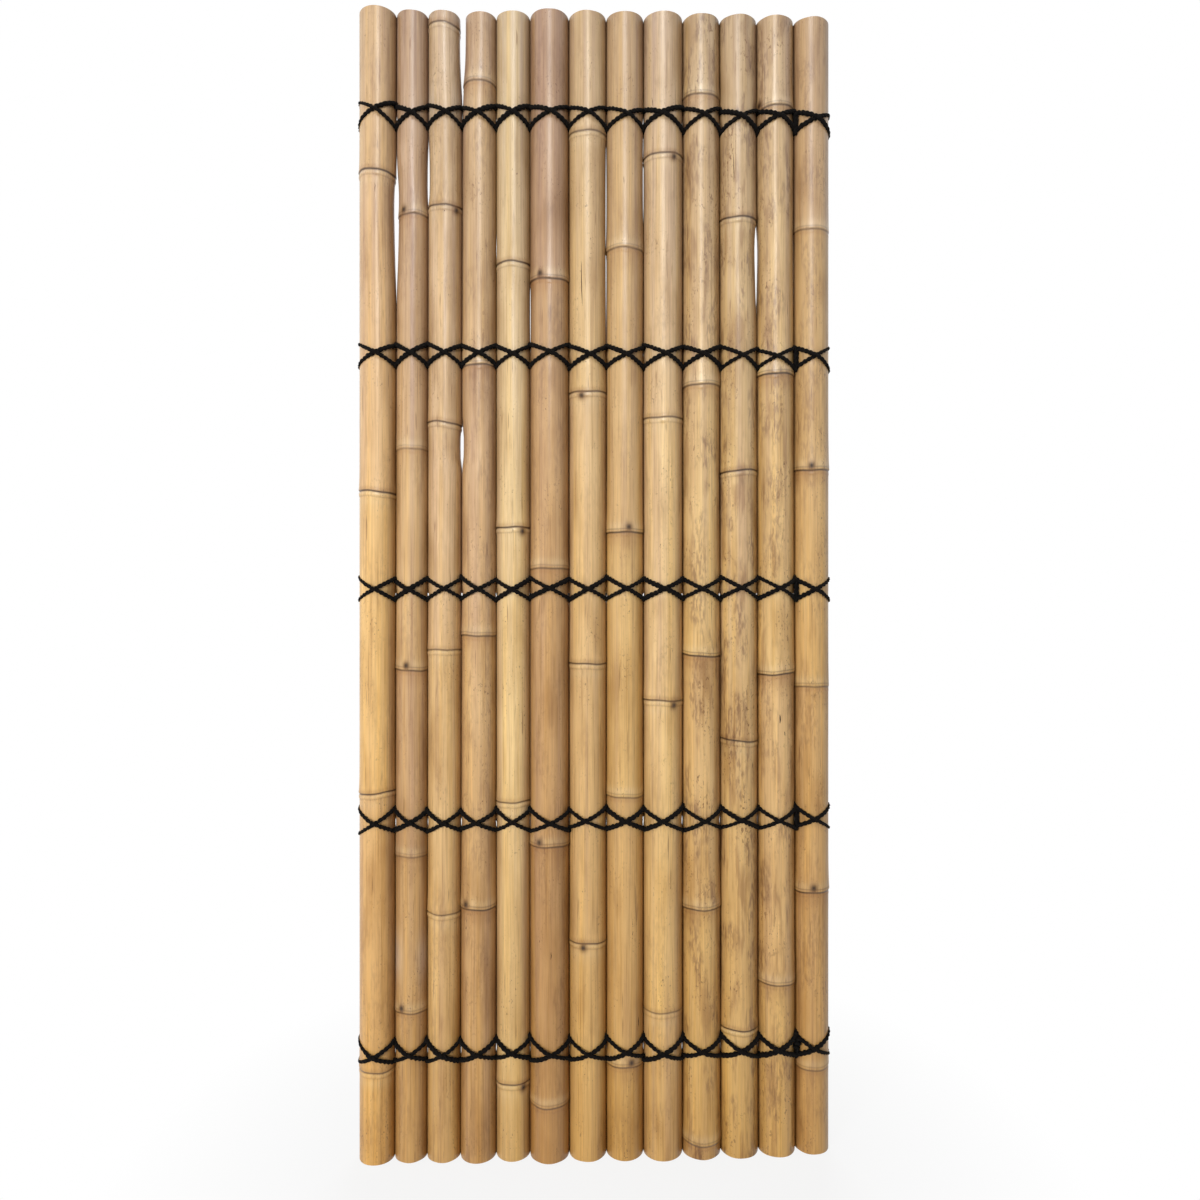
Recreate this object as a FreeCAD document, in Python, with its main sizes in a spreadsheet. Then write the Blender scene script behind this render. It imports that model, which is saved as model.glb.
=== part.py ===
import FreeCAD
import Part
import os
import Sketcher

# Bamboo fence panel.
# Thirteen upright culms stand side by side against five split-bamboo rails.
# Two black cords a row tie them: each goes over the face of a culm, in through the gap,
# round the back of the rail and out again, so that the two cross on every culm.
# Millimetres, +Z up, the face looks along -Y. The origin is the middle of the panel's foot.

# Sizes that hold for the whole panel
SIZES = {
    "pole_length": 1800.0,
    "pole_wall": 7.0,
    "pole_gap": 3.0,
    "tip_splay": 4.0,
    "node_ridge": 0.9,
    "node_height": 12.0,
    "rail_height": 22.0,
    "rail_thickness": 8.0,
    "rail_overhang": 3.0,
    "cord_width": 6.0,
    "cord_thickness": 3.2,
    "cord_pressed": 1.4,
    "cord_clearance": 0.3,
    "seat_clearance": 0.05,
    "row_1_height": 1640.0,
    "row_2_height": 1263.0,
    "row_3_height": 896.0,
    "row_4_height": 532.0,
    "row_5_height": 170.0,
}

# Each culm from left to right: foot diameter, tip diameter, heights of the nodes that stand out
CULMS = (
    (52.0, 55.0, (578.0, 1048.0, 1548.0)),
    (48.0, 47.0, (769.0, 1483.0)),
    (49.6, 49.0, (388.0, 1157.0)),
    (53.6, 48.0, (395.0, 1247.0)),
    (50.7, 51.0, (562.0, 1409.0)),
    (58.8, 58.0, (493.0, 1381.0)),
    (56.0, 56.5, (341.0, 1206.0)),
    (56.0, 56.5, (985.0, 1431.0)),
    (59.2, 59.5, (721.0, 1580.0)),
    (58.4, 56.0, (392.0, 791.0, 1218.0)),
    (57.6, 56.5, (657.0, 1483.0)),
    (56.8, 56.5, (271.0, 1236.0)),
    (52.0, 55.5, (415.0, 1085.0)),
)

ROWS = range(1, 6)
# The gap that stands open at the top is the one after this culm
SPLAY_AFTER = 3

X = FreeCAD.Vector(1, 0, 0)
Y = FreeCAD.Vector(0, 1, 0)
Z = FreeCAD.Vector(0, 0, 1)

doc = FreeCAD.newDocument("bamboo_fence_panel")
sheet = doc.addObject("Spreadsheet::Sheet", "Sizes")


def fill_sheet():
    """Write every driving size to the sheet under its own alias."""
    cells = dict(SIZES)
    for number, (foot, tip, nodes) in enumerate(CULMS, 1):
        cells[f"pole_{number:02d}_foot"] = foot
        cells[f"pole_{number:02d}_tip"] = tip
        for order, height in enumerate(nodes, 1):
            cells[f"pole_{number:02d}_node_{order}"] = height
    for row, (alias, value) in enumerate(cells.items(), 1):
        sheet.set(f"A{row}", alias)
        sheet.set(f"B{row}", str(value))
        sheet.setAlias(f"B{row}", alias)
    doc.recompute()


fill_sheet()


def size(alias):
    return float(getattr(sheet, alias))


class Culm:
    """One culm's place in the panel, worked out from the sheet."""

    def __init__(self, number):
        self.number = number
        self.name = f"pole_{number:02d}"
        self.foot_x = 0.0
        self.tip_x = 0.0
        self.back = 0.0
        aliases = [f"{self.name}_node_{order + 1}" for order in range(len(CULMS[number - 1][2]))]
        top = size("pole_length") - size("node_height") / 2
        inside = [alias for alias in aliases if size("node_height") / 2 < size(alias) < top]
        self.nodes = sorted(inside, key=size)

    def taper(self, height):
        """Radius on the straight line from foot to tip."""
        foot = size(f"{self.name}_foot")
        tip = size(f"{self.name}_tip")
        return (foot + (tip - foot) * height / size("pole_length")) / 2

    def radius(self, height):
        """Radius of the internode that a height falls in: its taper half-way up."""
        ends = [0.0, *(size(alias) for alias in self.nodes), size("pole_length")]
        for low, high in zip(ends, ends[1:]):
            if low <= height <= high:
                return self.taper((low + high) / 2)
        return self.taper(height)

    def reach(self, low, high):
        """Largest radius between two heights, the ridge of a node included."""
        half = size("node_height") / 2
        widest = max(self.radius(low), self.radius(high))
        if any(low < size(alias) + half and high > size(alias) - half for alias in self.nodes):
            widest += size("node_ridge")
        return widest

    def centre(self, height):
        """Axis of the culm at a height, its back held off the rails by its ridges."""
        x = self.foot_x + (self.tip_x - self.foot_x) * height / size("pole_length")
        return FreeCAD.Vector(x, self.back - self.taper(height) - size("node_ridge"), height)

    def side(self, low, high, direction):
        """Outermost x between two heights, to the left (-1) or the right (1)."""
        return self.centre((low + high) / 2).x + direction * self.reach(low, high)


def row_positions(culms, height, splay):
    """Centre of each culm across the panel at one height, the row centred on zero."""
    edge = 0.0
    centres = []
    for culm in culms:
        centres.append(edge + culm.taper(height))
        edge += 2 * culm.taper(height) + size("pole_gap")
        if culm.number == SPLAY_AFTER:
            edge += splay
    width = edge - size("pole_gap")
    return [x - width / 2 for x in centres]


def stand_culms():
    """Set the culms side by side and centre the panel's depth on zero."""
    culms = [Culm(number + 1) for number in range(len(CULMS))]
    length = size("pole_length")
    for culm, x in zip(culms, row_positions(culms, 0.0, 0.0)):
        culm.foot_x = x
    for culm, x in zip(culms, row_positions(culms, length, size("tip_splay"))):
        culm.tip_x = x
    thickest = max(max(culm.taper(0.0), culm.taper(length)) for culm in culms)
    cords = 2 * (size("cord_thickness") + size("cord_clearance"))
    in_front = 2 * thickest + size("node_ridge") + cords
    behind = size("seat_clearance") + size("rail_thickness") + cords
    for culm in culms:
        culm.back = (in_front - behind) / 2
    return culms


culms = stand_culms()
rail_face_y = culms[0].back + size("seat_clearance")
rail_back_y = rail_face_y + size("rail_thickness")


def add_sketch(body, role, name):
    """A sketch on one of the body's own origin planes."""
    plane = next(item for item in body.Origin.OriginFeatures if item.Role == role)
    sketch = body.newObject("Sketcher::SketchObject", name)
    sketch.AttachmentSupport = (plane, [""])
    sketch.MapMode = "FlatFace"
    return sketch


def taper_formula(name, height):
    """The culm's taper at a height, as an expression on the sheet."""
    foot = f"Sizes.{name}_foot"
    tip = f"Sizes.{name}_tip"
    return f"({foot} + ({tip} - {foot}) * ({height}) / Sizes.pole_length) / 2"


def culm_outline(culm):
    """Corners of the culm's half section, each a pair of expressions: radius, height."""
    half = "Sizes.node_height / 2"
    ends = ["0", *(f"Sizes.{alias}" for alias in culm.nodes), "Sizes.pole_length"]
    radii = [
        taper_formula(culm.name, f"({low} + {high}) / 2") for low, high in zip(ends, ends[1:])
    ]
    bore = f"min({'; '.join(radii)}) - Sizes.pole_wall"
    corners = [(bore, None), (radii[0], None)]
    for below, above, node in zip(radii, radii[1:], ends[1:]):
        corners.append((below, f"{node} - {half}"))
        corners.append((f"max({below}; {above}) + Sizes.node_ridge", node))
        corners.append((above, f"{node} + {half}"))
    corners.append((radii[-1], ends[-1]))
    corners.append((bore, ends[-1]))
    return corners


def first_guess(culm):
    """Rough places for the corners, which the constraints then set exactly."""
    half = size("node_height") / 2
    length = size("pole_length")
    inner = culm.taper(length / 2) - size("pole_wall")
    places = [(inner, 0.0), (culm.radius(0.0), 0.0)]
    for alias in culm.nodes:
        node = size(alias)
        places.append((culm.radius(node - half), node - half))
        places.append((culm.radius(node) + size("node_ridge"), node))
        places.append((culm.radius(node + half), node + half))
    places += [(culm.radius(length), length), (inner, length)]
    return [FreeCAD.Vector(radius, height, 0) for radius, height in places]


def make_pole(culm):
    """A hollow culm turned about its own axis, with a ridge round each node."""
    body = doc.addObject("PartDesign::Body", culm.name)
    body.Label = culm.name
    sketch = add_sketch(body, "XZ_Plane", f"{culm.name}_section")
    points = first_guess(culm)
    after = points[1:] + points[:1]
    sketch.addGeometry([Part.LineSegment(a, b) for a, b in zip(points, after)], False)
    for line in range(len(points)):
        following = (line + 1) % len(points)
        sketch.addConstraint(Sketcher.Constraint("Coincident", line, 2, following, 1))
    for line, (radius, height) in enumerate(culm_outline(culm)):
        across = Sketcher.Constraint("DistanceX", -1, 1, line, 1, points[line].x)
        sketch.setExpression(f"Constraints[{sketch.addConstraint(across)}]", radius)
        if height is None:
            sketch.addConstraint(Sketcher.Constraint("PointOnObject", line, 1, -1))
            continue
        upward = Sketcher.Constraint("DistanceY", -1, 1, line, 1, points[line].y)
        sketch.setExpression(f"Constraints[{sketch.addConstraint(upward)}]", height)
    turned = body.newObject("PartDesign::Revolution", f"{culm.name}_turned")
    turned.Profile = sketch
    turned.ReferenceAxis = (sketch, ["V_Axis"])
    turned.Angle = 360.0
    foot = culm.centre(0.0)
    lean = FreeCAD.Rotation(Z, culm.centre(size("pole_length")) - foot)
    body.Placement = FreeCAD.Placement(foot, lean)
    return body


def make_rail(row):
    """A split-bamboo slat: flat split face against the culms, round skin behind."""
    name = f"rail_{row}"
    body = doc.addObject("PartDesign::Body", name)
    body.Label = name
    sketch = add_sketch(body, "YZ_Plane", f"{name}_section")
    half = size("rail_height") / 2
    depth = size("rail_thickness")
    top = FreeCAD.Vector(0, half, 0)
    bottom = FreeCAD.Vector(0, -half, 0)
    skin = Part.Arc(bottom, FreeCAD.Vector(depth, 0, 0), top)
    sketch.addGeometry([Part.LineSegment(top, bottom), skin], False)
    sketch.addConstraint(Sketcher.Constraint("Coincident", 0, 2, 1, 1))
    sketch.addConstraint(Sketcher.Constraint("Coincident", 0, 1, 1, 2))
    sketch.addConstraint(Sketcher.Constraint("PointOnObject", 0, 1, -2))
    sketch.addConstraint(Sketcher.Constraint("Symmetric", 0, 1, 0, 2, -1, 1))
    tall = sketch.addConstraint(Sketcher.Constraint("Distance", 0, 2 * half))
    sketch.setExpression(f"Constraints[{tall}]", "Sizes.rail_height")
    bend = (half * half + depth * depth) / (2 * depth)
    curve = sketch.addConstraint(Sketcher.Constraint("Radius", 1, bend))
    sketch.setExpression(
        f"Constraints[{curve}]",
        "(Sizes.rail_height ^ 2 / 4 + Sizes.rail_thickness ^ 2) / (2 * Sizes.rail_thickness)",
    )
    height = size(f"row_{row}_height")
    left = culms[0].side(height, height, -1) - size("rail_overhang")
    right = culms[-1].side(height, height, 1) + size("rail_overhang")
    pad = body.newObject("PartDesign::Pad", f"{name}_length")
    pad.Profile = sketch
    pad.Length = right - left
    body.Placement = FreeCAD.Placement(FreeCAD.Vector(left, rail_face_y, height), FreeCAD.Rotation())
    return body


def gap_x(index, level):
    """Middle of the gap before a culm at one level, or just outside the end culms."""
    low = level - size("cord_width") / 2
    high = level + size("cord_width") / 2
    beside = size("cord_clearance") + size("cord_pressed") / 2
    if index == 0:
        return culms[0].side(low, high, -1) - beside
    if index == len(culms):
        return culms[-1].side(low, high, 1) + beside
    return (culms[index - 1].side(low, high, 1) + culms[index].side(low, high, -1)) / 2


def cord_sections(row, over):
    """Three-sided sections along one cord of a row, from its left end to its right end.

    The cord that crosses on top of the other also goes round outside it behind the rail.
    """
    width = size("cord_width")
    thick = size("cord_thickness")
    pressed = size("cord_pressed")
    clear = size("cord_clearance")
    height = size(f"row_{row}_height")
    layer = thick + clear if over else 0.0
    rise = size("rail_height") / 2 + clear + width / 2
    climb = 1
    if over:
        rise += width + pressed
        climb = -1
    enter = height - climb * rise
    leave = height + climb * rise
    behind = rail_back_y + clear + thick / 2 + layer
    sections = []

    def add(x, y, z, across, upright):
        foot = FreeCAD.Vector(x, y, z) - upright / 2
        sections.append((foot - across / 2, foot + across / 2, foot + upright))

    def bend_behind(x, level, turn, rising):
        """A section behind the rail; turn says which way round the cord lies."""
        upright = Y * climb * thick + Z * rising * width
        add(x, behind, level, X * -turn * pressed, upright * turn)

    turn = -1
    bend_behind(gap_x(0, enter), height, turn, 0)
    bend_behind(gap_x(0, enter), enter, turn, -1)
    for index, culm in enumerate(culms):
        turn = -turn
        reach = culm.reach(height - rise - width / 2, height + rise + width / 2)
        face = culm.centre(height).y - reach - clear - thick / 2 - layer
        inward = gap_x(index, enter)
        outward = gap_x(index + 1, leave)
        add(inward, face, enter, (X * pressed + Y * thick) * turn, Z * width * turn)
        add(outward, face, leave, (Y * thick - X * pressed) * turn, Z * width * turn)
        bend_behind(outward, leave, turn, 1)
        if index + 1 < len(culms):
            bend_behind(gap_x(index + 1, enter), enter, turn, -1)
    bend_behind(gap_x(len(culms), leave), height, turn, 0)
    return sections


def make_cord(row, over):
    """One cord of a row as a solid of flat facets from section to section."""
    sections = cord_sections(row, over)
    facets = [sections[0], sections[-1]]
    for start, end in zip(sections, sections[1:]):
        for corner in range(len(start)):
            beside = (corner + 1) % len(start)
            facets.append((start[corner], start[beside], end[beside]))
            facets.append((start[corner], end[beside], end[corner]))
    faces = [Part.Face(Part.makePolygon([*facet, facet[0]])) for facet in facets]
    shell = Part.Shell(faces)
    shell.sewShape()
    name = f"lashing_{row}_{'over' if over else 'under'}"
    cord = doc.addObject("Part::Feature", name)
    cord.Label = name
    cord.Shape = Part.Solid(shell)
    cord.Placement = FreeCAD.Placement()
    return cord


subparts = [make_pole(culm) for culm in culms]
subparts += [make_rail(row) for row in ROWS]
subparts += [make_cord(row, over) for row in ROWS for over in (False, True)]
doc.recompute()

for item in doc.Objects:
    if "Invalid" in item.State or "Error" in item.State:
        raise RuntimeError(f"{item.Label} did not build: {item.State}")
for item in subparts:
    if item.Shape.isNull() or not item.Shape.isValid():
        raise RuntimeError(f"{item.Label} has no valid shape")

os.makedirs("parts", exist_ok=True)
for item in subparts:
    item.Shape.exportStep(f"parts/{item.Label}.step")
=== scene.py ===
import math
from typing import NamedTuple

import bpy
import numpy as np
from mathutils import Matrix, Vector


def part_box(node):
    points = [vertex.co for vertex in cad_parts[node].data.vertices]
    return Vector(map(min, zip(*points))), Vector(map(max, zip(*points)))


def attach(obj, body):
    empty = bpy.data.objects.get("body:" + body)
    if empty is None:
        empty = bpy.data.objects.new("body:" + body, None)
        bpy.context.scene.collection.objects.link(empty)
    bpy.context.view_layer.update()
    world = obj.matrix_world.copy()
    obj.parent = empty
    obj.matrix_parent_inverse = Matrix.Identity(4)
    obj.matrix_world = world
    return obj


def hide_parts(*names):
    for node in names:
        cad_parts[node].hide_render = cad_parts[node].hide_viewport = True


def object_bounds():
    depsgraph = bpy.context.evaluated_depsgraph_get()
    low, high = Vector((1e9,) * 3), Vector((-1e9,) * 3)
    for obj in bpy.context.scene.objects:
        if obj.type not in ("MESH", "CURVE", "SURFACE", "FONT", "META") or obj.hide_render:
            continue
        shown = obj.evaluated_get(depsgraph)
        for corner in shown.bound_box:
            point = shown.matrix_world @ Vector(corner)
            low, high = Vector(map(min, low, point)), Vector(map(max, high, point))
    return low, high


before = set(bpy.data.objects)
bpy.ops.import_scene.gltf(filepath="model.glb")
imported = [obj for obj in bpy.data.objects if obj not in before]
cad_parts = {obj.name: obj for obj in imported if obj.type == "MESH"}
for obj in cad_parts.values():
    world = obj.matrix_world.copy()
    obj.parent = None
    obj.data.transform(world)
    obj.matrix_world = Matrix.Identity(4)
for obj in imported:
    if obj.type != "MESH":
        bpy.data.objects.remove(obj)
cad_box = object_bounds()

# Lengths are in millimetres and become metres where a mesh is made. Lights and the floor are in metres.
MM = 0.001

# The photograph's frame and its camera, set level and a little to the left of the middle
PHOTO_PIXELS = 1200
FOCAL_PIXELS = 870
SENSOR_MM = 36.0
HORIZON_PIXEL = 590
CAMERA_PLACE = (-47.4, -1391.2, 894.0)
CAMERA_TURN_DEG = 2.2

# Each dressed culm fills half of the gap to its neighbour, up to a limit, so that most of them touch.
# The panel's two outer edges stand out from their solids by the allowance.
FILL_LIMIT = 3.4
SKIN_ALLOWANCE = 1.4

# At a row the culms' edges stand back a little below the rail, which sits high in its loops of cord
ROW_COUNT = 5
ROW_GAPS = (0.8, 0.8, 1.4, 0.7, 0.6)
ROW_GAP_DROP = 6.0
ROW_GAP_REACH = 8.0
RAIL_RAISE = 3.0

# A culm's mesh: rings wide apart between the nodes, closer at the rows, closest at a node's line
CULM_SIDES = 64
SIDE_ANGLES = np.linspace(0, 2 * math.pi, CULM_SIDES, endpoint=False)
RING_SPACING = 16.0
NODE_SPAN = 26.0
NODE_CORE = 13.0
NODE_RING_SPACING = 3.25
NODE_CORE_SPACING = 0.9
ROW_SPAN = 16.0
ROW_RING_SPACING = 4.0
END_MARGIN = 1.0

# The cut ends: how deep a solid's rim is read, the wall and its unevenness, the roughness of the saw cut,
# and how far from the end a node's waves fade out
RIM_DEPTH = 2.0
CULM_WALL = 7.0
WALL_UNEVEN = 0.5
ROUGH_CUT = 0.25
END_FADE = 20.0

# Faces that meet at a sharper angle than this keep their edge
SMOOTH_ANGLE_DEG = 40

# Colours in 0 to 255
# The nodes' dark lines; the band just under a node's line is partly painted shadow under its lip
LINE_BROWN = (60, 38, 22)
# The nodes' own brown stain; under a tip-down node's line it is partly painted shade where the skin faces
# down
STAIN_AND_SHADE_BROWN = (160, 112, 64)
# A painted highlight, laid as pale bands on the nodes' swellings
PAINTED_HIGHLIGHT = (236, 214, 170)
SCAR_BROWN = (34, 20, 11)
SCAR_RIM = (146, 98, 48)
BLOOM_WHITE = (214, 204, 192)
SCRATCH_BROWN = (128, 88, 50)
DOT_BROWN = (120, 82, 46)
SPECK_BROWN = (98, 66, 40)
FIBRE_BROWN = (120, 88, 54)
RAIL_SKIN = (206, 176, 124)

# Tints as linear factors. Streaks and stains darken the skin, so its painted tone is lifted first.
# Every culm changes towards its top and its foot, and some lengths of it are pinker than others.
# Painted shade darkens its sides, most where it lies against the next one.
SKIN_TINT = (1.066, 1.062, 0.978)
TOP_TINT = (0.765, 0.805, 1.05)
FOOT_TINT = (0.9, 0.79, 0.55)
PINK_TINT = (0.93, 0.92, 1.07)
PINK_RANGE = 0.4
SIDE_SHADE_LOSS = (0.37, 0.42, 0.48)
BLOT_TINT = (0.52, 0.42, 0.38)
MOULD_TINT = (0.42, 0.35, 0.38)

# The painted side shade: the share that spreads over the whole side, how far out the rest starts, and
# what is left of it on a side with no neighbour
SIDE_SHADE_SOFT = 0.75
SIDE_SHADE_EDGE = 0.75
FREE_SIDE_SHARE = 0.5

# Gloss of the skin, as the weight of its coat. It fades below a height, and in the grooves.
PLAIN_SHINE = 0.48
FLARE_SHINE = 0.85
FLARE_SHINE_FADE = 30.0
FLARE_SHINE_EDGE = 2.5
RIDGE_SHINE = 0.5
RIDGE_SHINE_MIDDLE = -5.0
RIDGE_SHINE_REACH = 3.0
DULL_FOOT = 700.0
DULL_RISE = 500.0
DULL_LEAST = 0.1
GROOVE_DULLING = 1.5


class Node(NamedTuple):
    """A culm's node: its height, how far it stands proud and how far it rises to the right.

    Then how dark its line is, and where across the culm, from -1 to 1, it has a bud scar.
    """

    height: float
    ridge: float = 1.0
    tilt: float = 0.0
    dark: float = 0.5
    scar: float | None = None


class Culm(NamedTuple):
    """A culm's colour at mid height, its stain, its nodes from the top, and if it stands tip down."""

    tone: tuple
    stain: float
    nodes: tuple
    tip_down: bool = False


CULMS = (
    Culm(
        (221, 181, 128),
        0.3,
        (
            Node(1548, 1.2, -2, 0.8),
            Node(1048, 1.1, -4, 0.8),
            Node(578, 1.1, 4, 0.7),
            Node(144, 0.8),
        ),
    ),
    Culm(
        (201, 165, 125),
        0.3,
        (
            Node(1483, 0.9, 1, 0.5, -0.5),
            Node(1115, 0.4, 0, 0.2),
            Node(769, 0.7, -1, 0.6, -0.2),
            Node(477, 0.4, 0, 0.2),
            Node(233, 0.8, 1, 0.5, -0.45),
        ),
        True,
    ),
    Culm(
        (217, 183, 141),
        0.3,
        (
            Node(1783, 0.8, -4, 0.5),
            Node(1497, 1.1, -1, 0.6, 0.7),
            Node(1157, 1.0, -5, 0.6),
            Node(801, 0.9, 1, 0.4),
            Node(388, 1.0, 0, 0.4),
        ),
    ),
    Culm(
        (206, 170, 128),
        0.4,
        (
            Node(1692, 0.9),
            Node(1247, 1.0, 1, 0.7),
            Node(823, 0.7, 0, 0.6),
            Node(395, 1.0, 1, 0.8, -0.63),
        ),
        True,
    ),
    Culm(
        (222, 192, 148),
        0.1,
        (
            Node(1409, 1.0, 1, 0.7),
            Node(993, 1.1, -1, 0.7, 0.55),
            Node(562, 1.0, 0, 0.5),
            Node(120, 0.9, 1, 0.7, 0.6),
        ),
    ),
    Culm(
        (193, 154, 112),
        0.4,
        (
            Node(1381, 1.0, 1, 0.8, -0.45),
            Node(928, 0.4, 0, 0.5),
            Node(493, 1.0, -1, 0.6, -0.5),
            Node(87, 0.8, 0, 0.5),
        ),
        True,
    ),
    Culm(
        (220, 184, 132),
        0.2,
        (
            Node(1614, 1.0, 0, 0.5),
            Node(1206, 1.0, 1, 0.6, -0.33),
            Node(779, 1.0, 0, 0.6),
            Node(341, 1.0, -1, 0.6, -0.25),
        ),
    ),
    Culm(
        (212, 175, 122),
        0.2,
        (
            Node(1431, 1.0, 0, 0.4),
            Node(985, 1.0, 1, 0.8, 0.15),
            Node(569, 0.5, 0, 0.4),
            Node(146, 0.9, 0, 0.6, 0.3),
        ),
        True,
    ),
    Culm(
        (224, 190, 142),
        0.3,
        (
            Node(1580, 1.0, 1, 0.6, 0.45),
            Node(1166, 1.0, 0, 0.5),
            Node(721, 1.1, -1, 0.6, 0.45),
            Node(232, 0.5, 0, 0.3),
        ),
    ),
    Culm(
        (216, 181, 132),
        0.9,
        (
            Node(1675, 0.9, 0, 0.5),
            Node(1218, 1.0, 4, 0.6),
            Node(791, 1.0, -4, 0.9),
            Node(392, 1.0, 2, 0.7),
            Node(22, 0.8, -3, 0.5),
        ),
        True,
    ),
    Culm(
        (215, 181, 134),
        1.0,
        (
            Node(1483, 1.1, 0, 0.7),
            Node(1083, 1.0, 4, 0.8),
            Node(657, 1.0, -4, 0.7),
            Node(201, 1.0, 0, 0.9),
        ),
    ),
    Culm(
        (221, 185, 134),
        0.8,
        (
            Node(1659, 1.0, 4, 0.6, -0.87),
            Node(1236, 1.0, 0, 0.9),
            Node(762, 1.0, 4, 0.9),
            Node(271, 1.0, 0, 0.6),
        ),
        True,
    ),
    Culm(
        (211, 172, 120),
        0.5,
        (
            Node(1466, 0.5, 0, 0.4),
            Node(1085, 1.0, 0, 0.8, -0.2),
            Node(741, 0.5, 0, 0.4),
            Node(415, 1.0, 0, 0.8, -0.1),
            Node(134, 0.5, 0, 0.4),
        ),
        True,
    ),
)


class NodeLook(NamedTuple):
    """The forms and colours of a node, by heights above its line.

    The skin swells above and below the line, and each swelling fades over a length. A ridge has a height,
    a middle and a reach. A band has a colour, its share on any node, what a dark node adds to that, a
    middle and a reach. Some bands are painted highlight or painted shade.
    """

    above: float
    fade_above: float
    below: float
    fade_below: float
    scar_middle: float
    ridges: tuple
    bands: tuple


# Tip down, the skin flares out above the line. Tip up, a short sleeve ends there, over a rounded ridge.
# The pale bands are painted highlight: on a tip-down node's flare above the line, and on a tip-up node's
# ridge and skin below it.
TIP_DOWN = NodeLook(
    above=1.7,
    fade_above=22.0,
    below=0.2,
    fade_below=20.0,
    scar_middle=7.0,
    ridges=((0.4, -6.0, 1.8),),
    bands=(
        (PAINTED_HIGHLIGHT, 0.24, 0.0, 9.0, 7.0),
        # The two brown bands under the line: the node's own stain, partly painted shade where the skin
        # faces down
        (STAIN_AND_SHADE_BROWN, 0.175, 0.325, -4.5, 4.0),
        (STAIN_AND_SHADE_BROWN, 0.0, 0.4, -13.0, 12.0),
        (LINE_BROWN, 0.175, 0.325, 4.5, 1.1),
        # Just under the line: the node's own dark scar line, partly painted shadow under the lip
        (LINE_BROWN, 0.378, 0.702, -0.7, 1.6),
    ),
)
TIP_UP = NodeLook(
    above=1.2,
    fade_above=14.0,
    below=0.0,
    fade_below=20.0,
    scar_middle=-7.0,
    ridges=((0.3, 1.0, 1.4), (1.0, -6.0, 3.0)),
    bands=(
        (STAIN_AND_SHADE_BROWN, 0.14, 0.26, 3.0, 3.5),
        (PAINTED_HIGHLIGHT, 0.08, 0.25, -4.0, 2.6),
        (LINE_BROWN, 0.105, 0.195, -9.0, 1.1),
        (PAINTED_HIGHLIGHT, 0.15, 0.0, -17.0, 7.0),
        # Just under the line: the node's own dark scar line, partly painted shadow under the lip
        (LINE_BROWN, 0.42, 0.78, -0.7, 1.6),
    ),
)

# The skin steps out at a node's line within a short height. The line waves round the culm: how many times
# round, and how high.
LINE_STEP = 0.35
NODE_WAVES = ((2, 0.7), (5, 0.4))
NODE_WAVE_REACH = 30.0

# A bud scar, and how far its bump, brown rim, dark middle and dullness reach, in its own half sizes
SCAR_HALF_WIDTH = 5.0
SCAR_HALF_HEIGHT = 6.0
SCAR_BUMP = 0.6
SCAR_BUMP_REACH = 0.8
SCAR_RIM_SHARE = 0.8
SCAR_RIM_REACH = 1.35
SCAR_DARK_REACH = 0.85
SCAR_DULL_REACH = 1.2


class OpenGap(NamedTuple):
    """A gap that light shows through: the culm before it, middle, half length, width, wider above."""

    after: int
    middle: float
    half: float
    width: float
    wider_above: float = 0.0

    def give(self, height):
        """How far each of the two culms stands back at a height."""
        along = (height - self.middle) / self.half
        return np.exp(-(along**4)) * (1 + self.wider_above * along) * self.width / 2


OPEN_GAPS = (
    OpenGap(1, 1457.0, 92.0, 6.4, 0.6),
    OpenGap(2, 1552.0, 52.0, 3.6, -0.3),
    OpenGap(3, 1800.0, 112.0, 9.0),
    OpenGap(3, 1124.0, 31.0, 5.2),
    OpenGap(4, 1429.0, 28.0, 0.8),
    OpenGap(5, 1335.0, 50.0, 0.9),
    OpenGap(7, 1465.0, 125.0, 1.1),
    OpenGap(8, 1555.0, 70.0, 1.0),
    OpenGap(11, 1405.0, 66.0, 4.6, 0.6),
    OpenGap(12, 1715.0, 50.0, 1.1),
    OpenGap(12, 1440.0, 120.0, 1.1),
)


class Mark(NamedTuple):
    """A crack or knife mark in a culm's skin: its place across the culm, foot, head and width."""

    culm: int
    across: float
    foot: float
    head: float
    width: float


MARKS = (
    Mark(1, 0.1, 1512.0, 1526.0, 0.8),
    Mark(3, 0.05, 1484.0, 1496.0, 1.6),
    Mark(7, -0.28, 1338.0, 1408.0, 1.3),
    Mark(8, -0.1, 1530.0, 1542.0, 0.7),
    Mark(9, -0.62, 1588.0, 1606.0, 1.0),
    Mark(9, -0.6, 1654.0, 1668.0, 0.8),
    Mark(11, -0.36, 1538.0, 1582.0, 1.0),
    Mark(11, 0.62, 612.0, 622.0, 1.0),
    Mark(12, 0.02, 684.0, 698.0, 2.2),
    Mark(12, 0.3, 664.0, 671.0, 1.2),
    Mark(6, 0.05, 318.0, 330.0, 1.2),
    Mark(8, 0.7, 206.0, 222.0, 1.6),
)
MARK_STATIONS = 9
MARK_SWAY = 0.25
MARK_LIFT = 0.2
MARK_TAPER = 0.15


class Bloom(NamedTuple):
    """White bloom on a culm's sides: its middle height and reach."""

    culm: int
    middle: float
    reach: float


BLOOMS = (Bloom(2, 318.0, 34.0), Bloom(3, 1660.0, 30.0))
BLOOM_SHARE = 0.6

# The rails' mesh and knots, and their depth and height as shares of the solid's: mean, swing, wave length
RAIL_SEED = 40
RAIL_SIDES = 20
RAIL_STATIONS = 150
RAIL_KNOTS = 2
RAIL_KNOT_HEIGHT = 0.6
RAIL_KNOT_REACH = 5.0
RAIL_DEPTH_WAVE = (0.93, 0.04, 70.0)
RAIL_HEIGHT_WAVE = (0.95, 0.04, 110.0)

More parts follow.
